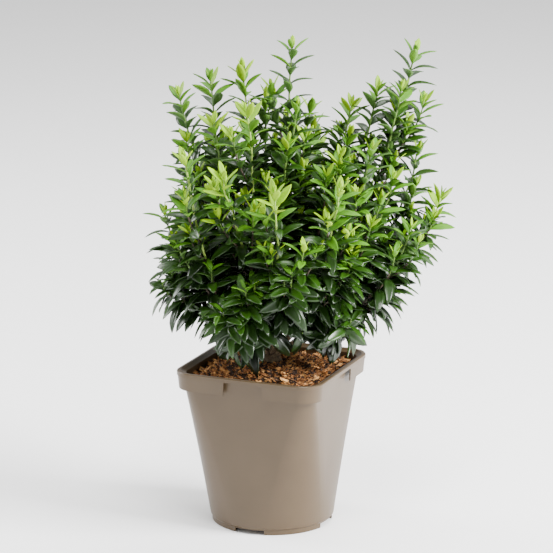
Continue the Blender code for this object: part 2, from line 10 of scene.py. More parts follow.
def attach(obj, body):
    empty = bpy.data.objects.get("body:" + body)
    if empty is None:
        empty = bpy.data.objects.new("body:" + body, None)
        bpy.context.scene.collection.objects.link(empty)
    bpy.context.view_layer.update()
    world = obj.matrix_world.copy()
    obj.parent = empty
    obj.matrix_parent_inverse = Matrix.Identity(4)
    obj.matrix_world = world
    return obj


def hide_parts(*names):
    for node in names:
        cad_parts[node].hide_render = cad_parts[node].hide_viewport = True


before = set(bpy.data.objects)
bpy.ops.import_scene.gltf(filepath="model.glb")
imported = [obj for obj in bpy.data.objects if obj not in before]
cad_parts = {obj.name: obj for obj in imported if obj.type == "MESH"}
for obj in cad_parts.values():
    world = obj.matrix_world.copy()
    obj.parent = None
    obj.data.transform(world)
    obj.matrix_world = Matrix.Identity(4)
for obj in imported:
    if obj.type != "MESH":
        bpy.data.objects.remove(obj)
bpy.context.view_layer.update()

# Potted japanese spindle: every piece is in metres, +Z up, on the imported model's own frame.
stemNodes = [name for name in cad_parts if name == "main_stem" or name.startswith("bough_")]
foliageNodes = [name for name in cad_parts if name.startswith("foliage_")]
# Blender seeds its vector noise by the clock unless it is told a seed
plantSeed = 20
noise.seed_set(plantSeed)


# Shared tools for meshes and materials

# A colour is written as sRGB hex, and a shader wants it linear
def toLinear(hexColour):
    channels = [int(hexColour[start:start + 2], 16) / 255 for start in (1, 3, 5)]
    linear = [c / 12.92 if c <= 0.04045 else ((c + 0.055) / 1.055) ** 2.4 for c in channels]
    return (*linear, 1.0)


def addNode(tree, kind, settings=None, links=None):
    node = tree.nodes.new(kind)
    for name, value in (settings or {}).items():
        if isinstance(name, int) or name in node.inputs:
            node.inputs[name].default_value = value
        else:
            setattr(node, name, value)
    for name, source in (links or {}).items():
        tree.links.new(source, node.inputs[name])
    return node


# A finish has colours in blotches of the size mottle, and pits of the size grain, both in metres
blotches = {"firstStop": 0.34, "stopSpan": 0.32, "mottleDetail": 4.0, "grainDetail": 3.0}


def newFinish(name, look):
    finish = bpy.data.materials.new(name)
    finish.use_nodes = True
    tree = finish.node_tree
    shader = tree.nodes["Principled BSDF"]
    shader.inputs["Roughness"].default_value = look["roughness"]
    shader.inputs["IOR"].default_value = look["ior"]
    shader.inputs["Base Color"].default_value = toLinear(look["colours"][0])
    place = addNode(tree, "ShaderNodeTexCoord")
    if len(look["colours"]) > 1:
        speckle = addNode(tree, "ShaderNodeTexNoise",
                          {"Scale": 1 / look["mottle"], "Detail": blotches["mottleDetail"]},
                          {"Vector": place.outputs["Object"]})
        ramp = addNode(tree, "ShaderNodeValToRGB", links={"Fac": speckle.outputs["Fac"]})
        stops = ramp.color_ramp.elements
        for index, colour in enumerate(look["colours"]):
            position = blotches["firstStop"] + blotches["stopSpan"] * index / (len(look["colours"]) - 1)
            stop = stops[index] if index < 2 else stops.new(position)
            stop.position = position
            stop.color = toLinear(colour)
        tree.links.new(ramp.outputs["Color"], shader.inputs["Base Color"])
    if "grain" in look:
        pits = addNode(tree, "ShaderNodeTexNoise",
                       {"Scale": 1 / look["grain"], "Detail": blotches["grainDetail"]},
                       {"Vector": place.outputs["Object"]})
        bump = addNode(tree, "ShaderNodeBump", {"Strength": look["bump"], "Distance": look["depth"]},
                       {"Height": pits.outputs["Fac"]})
        tree.links.new(bump.outputs["Normal"], shader.inputs["Normal"])
    return finish


def addObject(name, mesh, finishes=()):
    mesh.materials.clear()
    for finish in finishes:
        mesh.materials.append(finish)
    piece = bpy.data.objects.new(name, mesh)
    bpy.context.scene.collection.objects.link(piece)
    return piece


def meshOf(name, corners, faces, smooth=True):
    mesh = bpy.data.meshes.new(name)
    mesh.from_pydata([tuple(corner) for corner in corners], [], faces)
    if smooth:
        mesh.shade_smooth()
    return mesh


def plainCopy(piece):
    graph = bpy.context.evaluated_depsgraph_get()
    made = bpy.data.meshes.new_from_object(piece.evaluated_get(graph))
    piece.modifiers.clear()
    piece.data = made
    return piece


# A piece rides on the one body, and stands for the nodes that it is given
def dress(piece, nodes):
    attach(piece, "root")
    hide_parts(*nodes)


def around(bearing, reach, height):
    angle = math.radians(bearing)
    return Vector((reach * math.cos(angle), reach * math.sin(angle), height))


# Camera, floor and light: the photograph's angle and soft white light, with the key lamp on the right

view = {"azimuth": 22.39, "elevation": 14.01, "distance": 3.1322, "lens": 191.05, "sensor": 36.0,
        "shiftRight": 0.0047, "aimHeight": 0.2686, "floorSide": 14.0, "floorLevel": -0.0003}

turn, tilt = math.radians(view["azimuth"]), math.radians(view["elevation"])
toRight = Vector((math.cos(turn), math.sin(turn), 0.0))
toBack = Vector((math.sin(turn) * math.cos(tilt), -math.cos(turn) * math.cos(tilt), math.sin(tilt)))
camera = bpy.data.objects.new("camera", bpy.data.cameras.new("camera"))
bpy.context.scene.collection.objects.link(camera)
camera.data.sensor_width = view["sensor"]
camera.data.lens = view["lens"]
aim = toRight * view["shiftRight"] + Vector((0, 0, view["aimHeight"]))
facing = Matrix((toRight, toBack.cross(toRight), toBack)).transposed().to_4x4()
camera.matrix_world = Matrix.Translation(aim + toBack * view["distance"]) @ facing
bpy.context.scene.camera = camera

half = view["floorSide"] / 2
level = view["floorLevel"]
floorCorners = [(-half, -half, level), (half, -half, level), (half, half, level), (-half, half, level)]
# Matt white emulsion on a smooth floor: no shine, so it shows only soft shadow
floorFinish = newFinish("painted_floor", {"colours": ["#FFFFFF"], "roughness": 0.9, "ior": 1.45})
floor = addObject("floor", meshOf("floor", floorCorners, [(0, 1, 2, 3)], False), [floorFinish])

lamps = {
    "keyRight": {"place": (2.3, 0.10, 1.4), "size": 1.1, "watts": 240.0},
    "rimLeft": {"place": (-2.2, 0.1, 1.1), "size": 0.8, "watts": 50.0},
    "topBack": {"place": (0.3, 1.2, 2.6), "size": 1.8, "watts": 60.0},
    "topFront": {"place": (0.5, -0.9, 3.0), "size": 0.9, "watts": 70.0},
}
lampAim = Vector((0.0, 0.0, 0.28))
for lampName, lamp in lamps.items():
    light = bpy.data.lights.new(lampName, "AREA")
    light.size = lamp["size"]
    light.energy = lamp["watts"]
    holder = bpy.data.objects.new(lampName, light)
    bpy.context.scene.collection.objects.link(holder)
    holder.location = lamp["place"]
    holder.rotation_euler = (lampAim - holder.location).to_track_quat("-Z", "Y").to_euler()

sky = {"colour": "#FFFFFF", "strength": 0.85}
world = bpy.data.worlds.new("studio")
bpy.context.scene.world = world
world.use_nodes = True
world.node_tree.nodes["Background"].inputs["Color"].default_value = toLinear(sky["colour"])
world.node_tree.nodes["Background"].inputs["Strength"].default_value = sky["strength"]
print("camera, floor and lights are set")


# Nursery pot: square under its rim and round at its foot, with a skirt that hangs from a thin lip

pot = {"height": 0.175, "rimSide": 0.166, "rimCorner": 0.0225, "lip": 0.0045, "soft": 0.0008,
       "skirt": 0.0192, "setback": 0.0006, "lean": 0.0011, "skirtWall": 0.0013,
       "bodySide": 0.150, "bodyCorner": 0.017, "wall": 0.0015, "footRadius": 0.067, "chamfer": 0.0016,
       "ringRadius": 0.0652, "ringHeight": 0.0054, "ringWall": 0.0034, "floorWall": 0.0020,
       "mouthSide": 0.1482, "rimInside": 0.1572, "rimDrop": 0.0030, "underside": 0.0050,
       "bossRadius": 0.012, "draft": 0.0005, "cornerSteps": 14, "straightSteps": 6, "wallRings": 9,
       "sharpAngle": 28}
notch = {"skirtWidth": 0.043, "skirtHeight": 0.0143, "skirtDepth": 0.0065, "flare": 0.0015,
         "footWidth": 0.033, "footHeight": 0.0046, "footDepth": 0.030, "overrun": 0.001}
drain = {"holes": 6, "radius": 0.0050, "circle": 0.043, "sides": 20, "ringsDeep": 3}


# A level ring with rounded corners, which roundness turns towards a circle
def squareRing(height, side, corner, roundness=0.0):
    points = []
    perSide = pot["cornerSteps"] + pot["straightSteps"]
    straight = side / 2 - corner
    for quarter in range(4):
        quarterTurn = Matrix.Rotation(quarter * math.pi / 2, 2)
        for step in range(perSide):
            if step <= pot["cornerSteps"]:
                angle = step / pot["cornerSteps"] * math.pi / 2
                flat = Vector((straight, straight)) + corner * Vector((math.cos(angle), math.sin(angle)))
            else:
                along = (step - pot["cornerSteps"]) / pot["straightSteps"]
                flat = Vector((straight - 2 * straight * along, side / 2))
            angle = (step - pot["cornerSteps"] / 2) / perSide * math.pi / 2 + math.pi / 4
            circle = side / 2 * Vector((math.cos(angle), math.sin(angle)))
            flat = quarterTurn @ flat.lerp(circle, roundness)
            points.append(Vector((flat.x, flat.y, height)))
    return points


def bodyRing(height, inset=0.0):
    low, high = pot["ringHeight"] + pot["chamfer"], pot["height"] - pot["skirt"]
    share = (height - low) / (high - low)
    side = 2 * pot["footRadius"] + (pot["bodySide"] - 2 * pot["footRadius"]) * share
    roundness = min(1.0, max(0.0, 1.0 - share))
    return squareRing(height, side - 2 * inset, pot["bodyCorner"] - inset, roundness)


def wallRings(low, high, inset):
    count = pot["wallRings"]
    return [bodyRing(low + (high - low) * step / (count - 1), inset) for step in range(count)]


def roundRing(height, radius):
    return squareRing(height, 2 * radius, pot["bodyCorner"], 1.0)


def skinOver(rings):
    corners = [point for ring in rings for point in ring]
    width = len(rings[0])
    faces = [tuple(range(width))[::-1]]
    for row in range(len(rings) - 1):
        for index in range(width):
            after = (index + 1) % width
            low, high = row * width, (row + 1) * width
            faces.append((low + index, low + after, high + after, high + index))
    faces.append(tuple(range((len(rings) - 1) * width, len(rings) * width)))
    return corners, faces


def cutBy(piece, cutterMesh):
    cutter = bpy.data.objects.new("cutter", cutterMesh)
    bpy.context.scene.collection.objects.link(cutter)
    step = piece.modifiers.new("cut", "BOOLEAN")
    step.operation = "DIFFERENCE"
    step.object = cutter
    plainCopy(piece)
    bpy.data.objects.remove(cutter)


def boxMesh(size, middle, angle, flare=0.0):
    work = bmesh.new()
    bmesh.ops.create_cube(work, size=1.0)
    for corner in work.verts:
        corner.co = Vector(corner.co[axis] * size[axis] for axis in range(3))
        if corner.co.z < 0:
            corner.co.x += math.copysign(flare, corner.co.x)
    work.transform(Matrix.Rotation(angle, 4, "Z") @ Matrix.Translation(middle))
    mesh = bpy.data.meshes.new("cutter")
    work.to_mesh(mesh)
    work.free()
    return mesh


def drillMesh(middle):
    work = bmesh.new()
    bmesh.ops.create_cone(work, cap_ends=True, segments=drain["sides"], radius1=drain["radius"],
                          radius2=drain["radius"], depth=drain["ringsDeep"] * pot["ringHeight"])
    work.transform(Matrix.Translation(middle))
    mesh = bpy.data.meshes.new("drill")
    work.to_mesh(mesh)
    work.free()
    return mesh


# One skin runs from the boss out under the foot, up the body, round skirt and lip, and down inside
def makePot(finish):
    top, lipFoot, skirtFoot = pot["height"], pot["height"] - pot["lip"], pot["height"] - pot["skirt"]
    soft, wall = pot["soft"], pot["skirtWall"]
    skirtTop = pot["rimSide"] - 2 * pot["setback"]
    skirtLow = skirtTop - 2 * pot["lean"]
    innerRing = pot["ringRadius"] - pot["ringWall"]
    rings = [
        roundRing(0.0, pot["bossRadius"]),
        roundRing(pot["underside"], pot["bossRadius"] + pot["draft"]),
        roundRing(pot["underside"], innerRing - pot["draft"]),
        roundRing(0.0, innerRing),
        roundRing(0.0, pot["ringRadius"]),
        roundRing(pot["ringHeight"], pot["ringRadius"]),
        roundRing(pot["ringHeight"], pot["footRadius"] - pot["chamfer"]),
        *wallRings(pot["ringHeight"] + pot["chamfer"], skirtFoot, 0.0),
        bodyRing(lipFoot),
        squareRing(lipFoot, skirtTop - 2 * wall, pot["rimCorner"] - wall),
        squareRing(skirtFoot, skirtLow - 2 * wall, pot["rimCorner"] - wall),
        squareRing(skirtFoot, skirtLow, pot["rimCorner"]),
        squareRing(lipFoot, skirtTop, pot["rimCorner"]),
        squareRing(lipFoot, pot["rimSide"], pot["rimCorner"]),
        squareRing(top - soft, pot["rimSide"], pot["rimCorner"]),
        squareRing(top, pot["rimSide"] - 2 * soft, pot["rimCorner"] - soft),
        squareRing(top, pot["rimInside"] + 2 * soft, pot["rimCorner"] - 2 * soft),
        squareRing(top - soft, pot["rimInside"], pot["rimCorner"] - 3 * soft),
        squareRing(top - pot["rimDrop"], pot["mouthSide"], pot["bodyCorner"]),
        *wallRings(pot["ringHeight"] + pot["floorWall"], skirtFoot, pot["wall"])[::-1],
    ]
    piece = addObject("nursery_pot", meshOf("nursery_pot", *skinOver(rings), False), [finish])
    over = notch["overrun"]
    skirtSize = (notch["skirtWidth"], notch["skirtDepth"], notch["skirtHeight"] + 2 * over)
    skirtMiddle = (0.0, -(pot["rimSide"] - notch["skirtDepth"] + over) / 2,
                   skirtFoot + notch["skirtHeight"] / 2 - over)
    footSize = (notch["footWidth"], notch["footDepth"], notch["footHeight"] + 2 * over)
    footMiddle = (0.0, -pot["ringRadius"], notch["footHeight"] / 2 - over)
    for side in range(4):
        cutBy(piece, boxMesh(skirtSize, skirtMiddle, side * math.pi / 2, notch["flare"]))
        cutBy(piece, boxMesh(footSize, footMiddle, side * math.pi / 2))
    for hole in range(drain["holes"]):
        cutBy(piece, drillMesh(around((hole + 0.5) * 360 / drain["holes"], drain["circle"],
                                      pot["ringHeight"])))
    piece.data.shade_smooth()
    piece.data.set_sharp_from_angle(angle=math.radians(pot["sharpAngle"]))
    return piece


# Injection moulded polypropylene, coloured right through: an even taupe, a broad soft shine, faint grain
potFinish = newFinish("moulded_polypropylene", {
    "colours": ["#4A3A25", "#4F3F2A"], "mottle": 0.045, "roughness": 0.38, "ior": 1.45,
    "grain": 0.0012, "bump": 0.10, "depth": 0.0003})
potPiece = makePot(potFinish)
dress(potPiece, ["pot"])
print("pot is made")


# Growing mix: composted bark and coir, heaped round the stem

mix = {"edgeLevel": 0.160, "topLevel": 0.1735, "depth": 0.012, "steps": 46, "clear": 0.0004,
       "lump": 0.0034, "lumpSize": 0.011, "lumpPlane": 3.0, "crumb": 0.0016, "crumbSize": 0.004,
       "crumbPlane": 8.0, "flat": 0.16, "edgeRelief": 0.35, "reliefGain": 4, "taper": 0.985,
       "litterInset": 0.0055, "litterArea": 0.02}


# Half the side of the pot's inside at the mix's edge
def mixSpan():
    share = (mix["edgeLevel"] - pot["ringHeight"]) / (pot["height"] - pot["skirt"] - pot["ringHeight"])
    side = 2 * pot["footRadius"] + (pot["bodySide"] - 2 * pot["footRadius"]) * share
    return side / 2 - pot["wall"] - mix["clear"]


def mixLevel(x, y):
    span = mixSpan()
    out = max(abs(x), abs(y)) / span
    share = min(1.0, (1.0 - out) / (1.0 - mix["flat"]))
    base = mix["edgeLevel"] + (mix["topLevel"] - mix["edgeLevel"]) * math.sin(share * math.pi / 2)
    lump = noise.noise(Vector((x, y, mix["lumpPlane"])) / mix["lumpSize"]) * mix["lump"]
    crumb = noise.noise(Vector((x, y, mix["crumbPlane"])) / mix["crumbSize"]) * mix["crumb"]
    return base + (lump + crumb) * min(1.0, mix["reliefGain"] * (1.0 - out) + mix["edgeRelief"])


def mixSurface(inset=0.0):
    span, corner = mixSpan() - inset, pot["bodyCorner"] - pot["wall"]
    count = mix["steps"]
    corners, faces = [], []
    for row in range(count + 1):
        for column in range(count + 1):
            x, y = (column / count * 2 - 1) * span, (row / count * 2 - 1) * span
            over = Vector((max(0.0, abs(x) - span + corner), max(0.0, abs(y) - span + corner)))
            if over.length > corner:
                pull = over * (corner / over.length)
                x = math.copysign(span - corner + pull.x, x)
                y = math.copysign(span - corner + pull.y, y)
            corners.append(Vector((x, y, mixLevel(x, y))))
    for row in range(count):
        for column in range(count):
            first = row * (count + 1) + column
            faces.append((first, first + 1, first + count + 2, first + count + 1))
    return corners, faces


def makeMix(finish):
    corners, faces = mixSurface()
    count = mix["steps"] + 1
    rim = (list(range(count))
           + [row * count + count - 1 for row in range(1, count)]
           + [(count - 1) * count + column for column in range(count - 2, -1, -1)]
           + [row * count for row in range(count - 2, 0, -1)])
    first = len(corners)
    low = mix["edgeLevel"] - mix["depth"]
    inward = mix["taper"]
    corners += [Vector((corners[index].x * inward, corners[index].y * inward, low)) for index in rim]
    for place, index in enumerate(rim):
        after = (place + 1) % len(rim)
        faces.append((rim[after], index, first + place, first + after))
    faces.append(tuple(range(first, first + len(rim)))[::-1])
    return addObject("bark_mix", meshOf("bark_mix", corners, faces), [finish])


chip = {"jitter": 0.14, "narrowing": 0.22, "variants": 4}


def chipShape(name, size, seed, bend):
    chance = random.Random(seed)
    jitter = chip["jitter"]
    work = bmesh.new()
    bmesh.ops.create_cube(work, size=1.0)
    bmesh.ops.subdivide_edges(work, edges=work.edges, cuts=1, use_grid_fill=True)
    for corner in work.verts:
        shift = Vector([chance.uniform(-jitter, jitter) for axis in range(3)])
        pull = 1.0 - chip["narrowing"] * (abs(corner.co.x) * 2) ** 2
        corner.co = Vector((corner.co.x, corner.co.y * pull, corner.co.z * pull)) + shift
        corner.co = Vector(corner.co[axis] * size[axis] for axis in range(3))
        corner.co.z += bend * corner.co.x ** 2
    mesh = bpy.data.meshes.new(name)
    work.to_mesh(mesh)
    work.free()
    return bpy.data.objects.new(name, mesh)


def shapeCollection(name, shapes):
    group = bpy.data.collections.new(name)
    for shape in shapes:
        group.objects.link(shape)
    return group


# Bits lie within Tilt of level, in radians, and face any way
def scatterTree(name):
    tree = bpy.data.node_groups.new(name, "GeometryNodeTree")
    tree.interface.new_socket("Geometry", in_out="INPUT", socket_type="NodeSocketGeometry")
    tree.interface.new_socket("Shapes", in_out="INPUT", socket_type="NodeSocketCollection")
    tree.interface.new_socket("Finish", in_out="INPUT", socket_type="NodeSocketMaterial")
    for label in ("Density", "Smallest", "Largest", "Tilt"):
        tree.interface.new_socket(label, in_out="INPUT", socket_type="NodeSocketFloat")
    tree.interface.new_socket("Seed", in_out="INPUT", socket_type="NodeSocketInt")
    tree.interface.new_socket("Geometry", in_out="OUTPUT", socket_type="NodeSocketGeometry")
    given = addNode(tree, "NodeGroupInput").outputs
    spread = addNode(tree, "GeometryNodeDistributePointsOnFaces",
                     links={"Mesh": given["Geometry"], "Density": given["Density"], "Seed": given["Seed"]})
    shapes = addNode(tree, "GeometryNodeCollectionInfo",
                     {"Separate Children": True, "Reset Children": True},
                     {"Collection": given["Shapes"]})
    lean = addNode(tree, "ShaderNodeMath", {"operation": "MULTIPLY", 1: -1.0}, {0: given["Tilt"]})
    low = addNode(tree, "ShaderNodeCombineXYZ", {"Z": 0.0}, {"X": lean.outputs[0], "Y": lean.outputs[0]})
    high = addNode(tree, "ShaderNodeCombineXYZ", {"Z": math.tau},
                   {"X": given["Tilt"], "Y": given["Tilt"]})
    spin = addNode(tree, "FunctionNodeRandomValue", {"data_type": "FLOAT_VECTOR"},
                   {0: low.outputs[0], 1: high.outputs[0], "Seed": given["Seed"]})
    size = addNode(tree, "FunctionNodeRandomValue", {"data_type": "FLOAT"},
                   {2: given["Smallest"], 3: given["Largest"], "Seed": given["Seed"]})
    settle = addNode(tree, "GeometryNodeInstanceOnPoints", {"Pick Instance": True},
                     {"Points": spread.outputs["Points"], "Instance": shapes.outputs[0],
                      "Rotation": spin.outputs[0], "Scale": size.outputs[1]})
    real = addNode(tree, "GeometryNodeRealizeInstances", links={"Geometry": settle.outputs[0]})
    painted = addNode(tree, "GeometryNodeSetMaterial",
                      links={"Geometry": real.outputs[0], "Material": given["Finish"]})
    addNode(tree, "NodeGroupOutput", links={"Geometry": painted.outputs[0]})
    return tree


# A modifier's inputs go by the socket's identifier, and are set before it is first evaluated
def runTree(piece, tree, values):
    step = piece.modifiers.new("make", "NODES")
    step.node_group = tree
    for item in tree.interface.items_tree:
        if item.in_out == "INPUT" and item.name in values:
            step[item.identifier] = values[item.name]
    return plainCopy(piece)


# Composted bark, kept damp and dull all over: dark brown of its own, made nearly black as painted shade
# where it shows in the gaps between the chips
mixFinish = newFinish("composted_bark_with_painted_gap_shade", {
    "colours": ["#120903", "#24150A", "#402A16"], "mottle": 0.0045, "roughness": 0.95, "ior": 1.45,
    "grain": 0.0016, "bump": 0.9, "depth": 0.0012})
mixPiece = makeMix(mixFinish)
dress(mixPiece, ["growing_mix"])

# Bark and wood go from dark and blunt to pale, long and torn as they are fresher; coir is wiry and bent
litter = {
    "dark_chips": {"size": (1.0, 0.62, 0.34), "count": 3000, "small": 0.0035, "large": 0.0095,
                   "tilt": 0.7, "seed": 11, "colours": ["#1E1006", "#3A2412"], "bend": 0.0,
                   "finish": "aged_bark"},
    "brown_chips": {"size": (1.0, 0.36, 0.14), "count": 1900, "small": 0.004, "large": 0.015,
                    "tilt": 0.55, "seed": 23, "colours": ["#5E3716", "#87562A"], "bend": 0.0,
                    "finish": "fresh_bark"},
    "tan_chips": {"size": (1.0, 0.26, 0.12), "count": 900, "small": 0.005, "large": 0.019,
                  "tilt": 0.5, "seed": 37, "colours": ["#A06A34", "#D09E62"], "bend": 0.0,
                  "finish": "split_wood"},
    "coir_fibres": {"size": (1.0, 0.055, 0.05), "count": 3800, "small": 0.007, "large": 0.017,
                    "tilt": 0.45, "seed": 51, "colours": ["#84552A", "#B98550"], "bend": 0.25,
                    "finish": "coir_fibre"},
}
scatter = scatterTree("scatter_over_mix")
for kind, form in litter.items():
    bits = [chipShape(f"{kind}_{index}", form["size"], form["seed"] + index, form["bend"])
            for index in range(chip["variants"])]
    bitFinish = newFinish(form["finish"], {
        "colours": form["colours"], "mottle": 0.006, "roughness": 0.9, "ior": 1.45,
        "grain": 0.0011, "bump": 0.5, "depth": 0.0004})
    bed = addObject(kind, meshOf(kind, *mixSurface(mix["litterInset"])))
    runTree(bed, scatter, {"Shapes": shapeCollection(kind + "_shapes", bits), "Finish": bitFinish,
                           "Density": form["count"] / mix["litterArea"], "Smallest": form["small"],
                           "Largest": form["large"], "Tilt": form["tilt"], "Seed": form["seed"]})
    dress(bed, ["growing_mix"])
    print(kind, "has", len(bed.data.polygons), "faces")


# The shrub's rule, as in the part's source: boughs rise from the main stem, and each mass of
# foliage is a few shoots on its bough. Here the shoots carry finer twigs and true leaves.

stem = {"height": 0.024, "radius": 0.0088, "lowTier": 0.011, "topCircle": 0.0056, "boughFoot": 0.0020,
        "boughTip": 0.0017, "gap": 0.0003, "bendReach": 0.72, "topBendReach": 0.5, "bendRise": 0.35,
        "fork": 0.24, "stemLength": 0.006, "tipLeaf": 0.020, "tipShare": 0.45, "lean": 0.22,
        "overlap": 0.002, "boughPoints": 12, "shootPoints": 22}
# The main stem's height over the mix and its radius there, from a root flare up to its top
stemProfile = [(-0.004, 0.0150), (0.0, 0.0125), (0.0053, 0.0093), (0.012, 0.0088), (0.023, 0.0082),
               (0.0245, 0.0060)]

# Tier on the stem, then each shoot as its tip's bearing, reach, height and the share bare of leaves
crown = {
    "left_tall": ("low", [(175, 0.112, 0.466, 0.2), (154, 0.101, 0.479, 0.2)]),
    "left_middle": ("top", [(-175, 0.066, 0.442, 0.1), (-160, 0.095, 0.360, 0.1)]),
    "left_side": ("low", [(-170, 0.118, 0.342, 0.1), (-150, 0.108, 0.285, 0.4)]),
    "front_left": ("low", [(-124, 0.109, 0.418, 0.1), (-132, 0.112, 0.330, 0.1)]),
    "front_left_inner": ("top", [(-104, 0.085, 0.402, 0.1), (-147, 0.028, 0.459, 0.1)]),
    "front_low": ("low", [(-102, 0.093, 0.262, 0.1), (-80, 0.085, 0.290, 0.1)]),
    "front_middle": ("low", [(-66, 0.095, 0.389, 0.1), (-51, 0.114, 0.334, 0.1)]),
    "front_right": ("low", [(-32, 0.119, 0.395, 0.1), (-18, 0.100, 0.320, 0.1)]),
    "centre": ("top", [(-27, 0.026, 0.428, 0.1), (32, 0.027, 0.461, 0.1)]),
    "right_front": ("low", [(-1, 0.113, 0.426, 0.1), (-3, 0.096, 0.240, 0.2)]),
    "right_inner": ("top", [(22, 0.072, 0.410, 0.1), (44, 0.089, 0.427, 0.1)]),
    "right_low": ("low", [(10, 0.150, 0.339, 0.1), (16, 0.125, 0.275, 0.2)]),
    "right_middle": ("low", [(22, 0.128, 0.385, 0.1), (29, 0.145, 0.325, 0.2)]),
    "right_outer": ("low", [(31, 0.183, 0.361, 0.4), (43, 0.168, 0.404, 0.5)]),
    "right_tall": ("low", [(38, 0.143, 0.474, 0.3), (50, 0.174, 0.508, 0.5)]),
    "right_back": ("top", [(48, 0.126, 0.471, 0.1), (63, 0.113, 0.451, 0.1)]),
    "back_tall": ("top", [(84, 0.045, 0.520, 0.2), (76, 0.070, 0.451, 0.1)]),
    "back_middle": ("low", [(88, 0.120, 0.410, 0.1), (105, 0.118, 0.425, 0.1)]),
    "back_right_low": ("low", [(66, 0.140, 0.355, 0.1), (80, 0.132, 0.300, 0.1)]),
    "back_left": ("top", [(132, 0.096, 0.486, 0.2), (118, 0.070, 0.459, 0.1)]),
    "back_left_side": ("low", [(145, 0.128, 0.400, 0.1), (160, 0.128, 0.350, 0.1)]),
    "back_low": ("low", [(112, 0.138, 0.345, 0.1), (130, 0.135, 0.310, 0.1)]),
}


# The first share of a curve that bends once
def bow(start, bend, end, count, share):
    made = []
    for index in range(count):
        t = share * index / (count - 1)
        made.append(start * (1 - t) ** 2 + bend * (2 * t * (1 - t)) + end * t * t)
    return made


# A curve that leaves along aim and arrives along rise
def reaching(start, aim, end, rise, count):
    reach = (end - start).length / 3
    first, second = start + aim.normalized() * reach, end - rise.normalized() * reach
    made = []
    for index in range(count):
        t = index / (count - 1)
        made.append(start * (1 - t) ** 3 + first * (3 * t * (1 - t) ** 2)
                    + second * (3 * t * t * (1 - t)) + end * t ** 3)
    return made


def meanTip(shoots):
    east = sum(math.cos(math.radians(shoot[0])) * shoot[1] for shoot in shoots)
    north = sum(math.sin(math.radians(shoot[0])) * shoot[1] for shoot in shoots)
    reach = sum(shoot[1] for shoot in shoots) / len(shoots)
    height = sum(shoot[2] for shoot in shoots) / len(shoots)
    return math.degrees(math.atan2(north, east)), reach, height


# The boughs of a tier stand evenly round the stem, in the order of their tips
def footBearings():
    made = {}
    for tier in ("low", "top"):
        names = [name for name in crown if crown[name][0] == tier]
        names.sort(key=lambda name: meanTip(crown[name][1])[0])
        step = 360 / len(names)
        shift = sum(meanTip(crown[name][1])[0] - index * step for index, name in enumerate(names))
        for index, name in enumerate(names):
            made[name] = shift / len(names) + index * step
    return made


def boughLine(tier, shoots, footBearing):
    bearing, reach, height = meanTip(shoots)
    top = mix["topLevel"] + stem["gap"] + stem["height"]
    foot = top if tier == "top" else top - stem["height"] + stem["lowTier"]
    bendReach = (stem["topBendReach"] if tier == "top" else stem["bendReach"]) * reach
    bend = around(bearing, bendReach, foot + stem["bendRise"] * (height - foot))
    start = around(footBearing, stem["topCircle"] if tier == "top" else stem["radius"], foot)
    return bow(start, bend, around(bearing, reach, height), stem["boughPoints"], stem["fork"])


def shootLines(line, shoots):
    aim = (line[-1] - line[-2]).normalized()
    fork = line[-1] + aim * stem["stemLength"]
    made = []
    for bearing, reach, height, bare in shoots:
        tip = around(bearing, reach, height - stem["tipLeaf"] * stem["tipShare"])
        lean = around(bearing, stem["lean"], 1.0)
        shoot = reaching(fork, aim, tip, lean, stem["shootPoints"])
        made.append(([line[-1] - aim * stem["overlap"]] + shoot, bare))
    return made


# Places along a line at an even spacing, each with the line's direction there
def sample(points, spacing):
    made = []
    carried = 0.0
    for here, there in zip(points, points[1:]):
        run = (there - here).length
        while carried <= run:
            made.append((here.lerp(there, carried / run), (there - here).normalized()))
            carried += spacing
        carried -= run
    return made


drift = {"amount": 0.0026, "lineStep": 7.3, "pointStep": 0.31, "fadeIn": 3, "fadeOut": 2}


# A shoot wavers a little, and least at its foot and tip
def waver(line, seed):
    made = []
    for index, point in enumerate(line):
        toEnd = len(line) - 1 - index
        share = min(1.0, index / drift["fadeIn"]) * min(1.0, toEnd / drift["fadeOut"])
        spot = Vector((seed * drift["lineStep"], index * drift["pointStep"], 0.0))
        made.append(point + noise.noise_vector(spot) * drift["amount"] * share)
    return made


twig = {"perShoot": 4, "shortest": 0.042, "longest": 0.080, "firstShare": 0.16, "lastShare": 0.66,
        "shareJitter": 0.8, "lengthShare": 0.55, "lengthGain": 0.02, "swing": 110, "centre": 0.02,
        "startOut": 0.9, "along": 0.62, "outward": 0.42, "upward": 0.45, "endOut": 0.15, "points": 10,
        "bare": 0.12, "foot": 0.0011, "tip": 0.0007, "lowest": 0.235, "step": 0.001}


def sideTwigs(line, chance):
    made = []
    places = sample(line, twig["step"])
    length = len(places) * twig["step"]
    span = twig["lastShare"] - twig["firstShare"]
    for index in range(twig["perShoot"]):
        spot = index + chance.random() * twig["shareJitter"]
        share = twig["firstShare"] + span * spot / twig["perShoot"]
        foot, way = places[int(share * (len(places) - 1))]
        outward = math.degrees(math.atan2(foot.y, foot.x)) if foot.to_2d().length > twig["centre"] else 0.0
        bearing = outward + chance.uniform(-twig["swing"], twig["swing"])
        longest = twig["lengthShare"] * (1 - share) * length + twig["lengthGain"]
        size = min(chance.uniform(twig["shortest"], twig["longest"]), longest)
        off = around(bearing, 1.0, 0.0)
        aim = way + off * twig["startOut"]
        heading = way * twig["along"] + off * twig["outward"] + Vector((0, 0, twig["upward"]))
        rise = Vector((0, 0, 1.0)) + off * twig["endOut"]
        made.append((reaching(foot, aim, foot + heading.normalized() * size, rise, twig["points"]),
                     twig["bare"]))
    return made


# Each leaf's place is worked out first: pairs that turn a quarter from node to node

